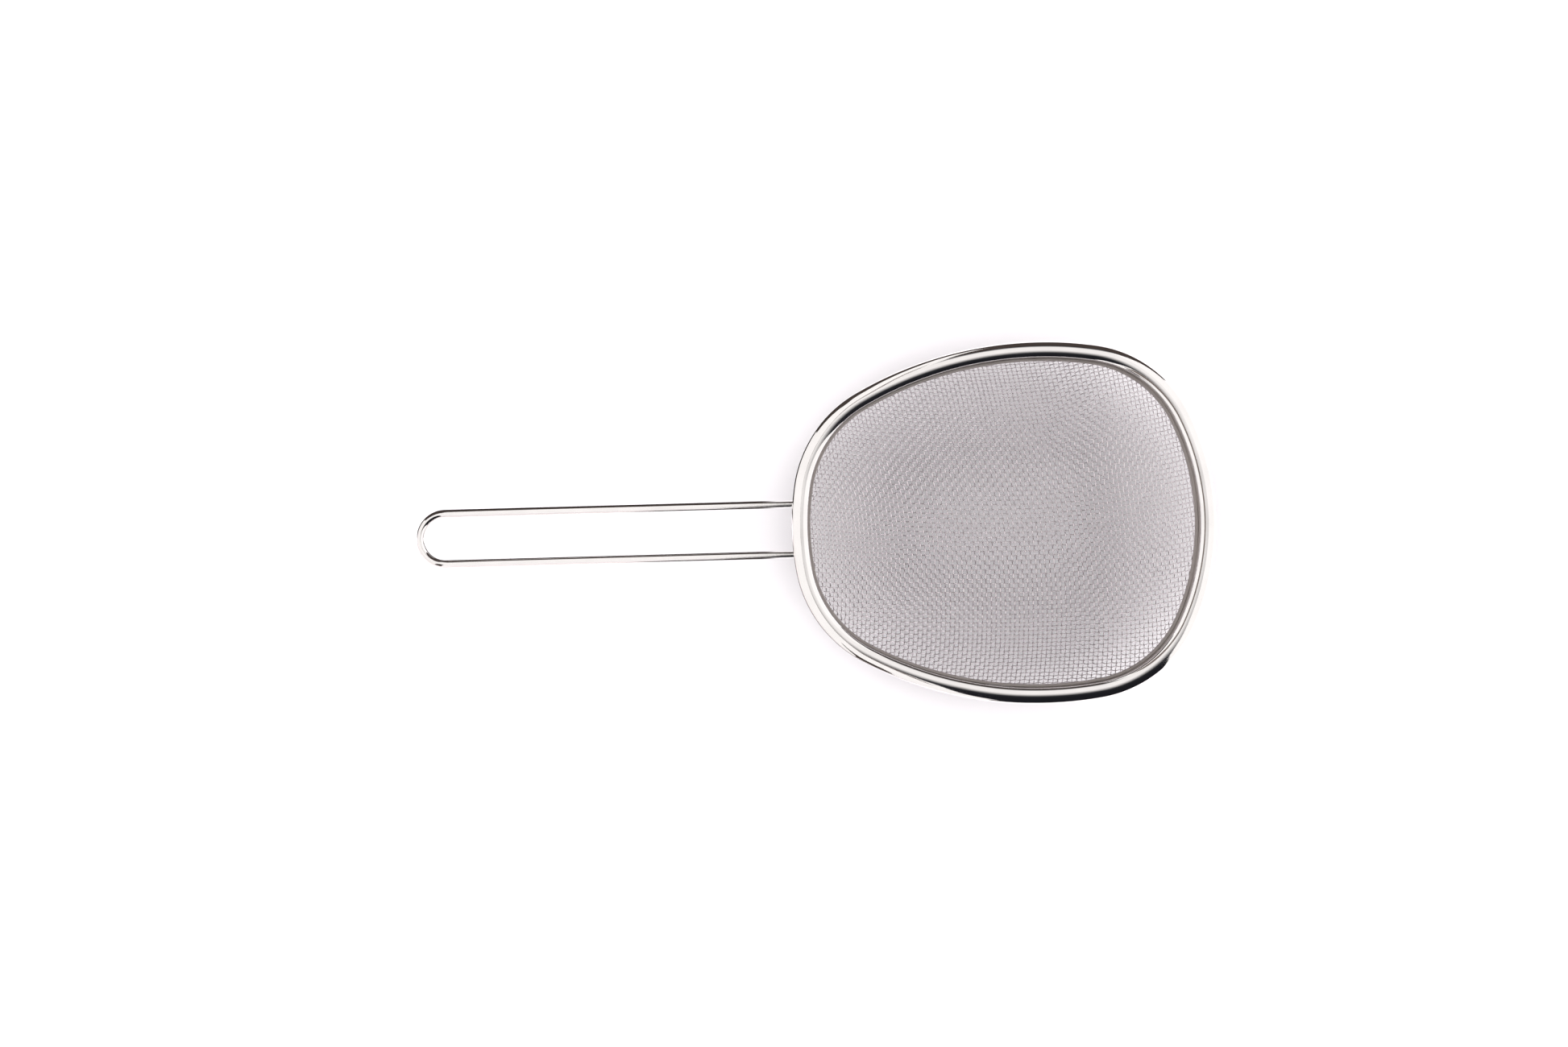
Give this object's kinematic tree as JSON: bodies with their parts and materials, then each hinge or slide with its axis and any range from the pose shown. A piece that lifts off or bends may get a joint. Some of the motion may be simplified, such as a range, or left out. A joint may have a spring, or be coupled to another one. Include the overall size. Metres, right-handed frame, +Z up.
{
  "type": "tea strainer",
  "caption": "Egg-shaped tea strainer with a woven-wire bowl, a rounded sheet-metal rim and a hairpin wire handle.",
  "frame": {"origin": "middle of the rim's outline, on the plane where the rim's turned edge rests on a cup", "axes": "+X along the strainer's length, from the handle towards the far end; +Y across it; +Z up, out of the bowl's mouth"},
  "size_m": [0.1712, 0.0776, 0.0225],
  "materials": {
    "rim_steel": "polished stainless sheet",
    "clamp_steel": "matt pressed edge",
    "wire_cloth": "plain weave of bright drawn wire",
    "handle_steel": "polished drawn wire",
    "weld_steel": "weld metal, as welded"
  },
  "bodies": {
    "root": {"rim_band": "rim_steel", "mesh_clamp_ring": "clamp_steel", "mesh_bowl": "wire_cloth", "handle_wire": "handle_steel", "handle_welds": "weld_steel"}
  },
  "joints": []
}
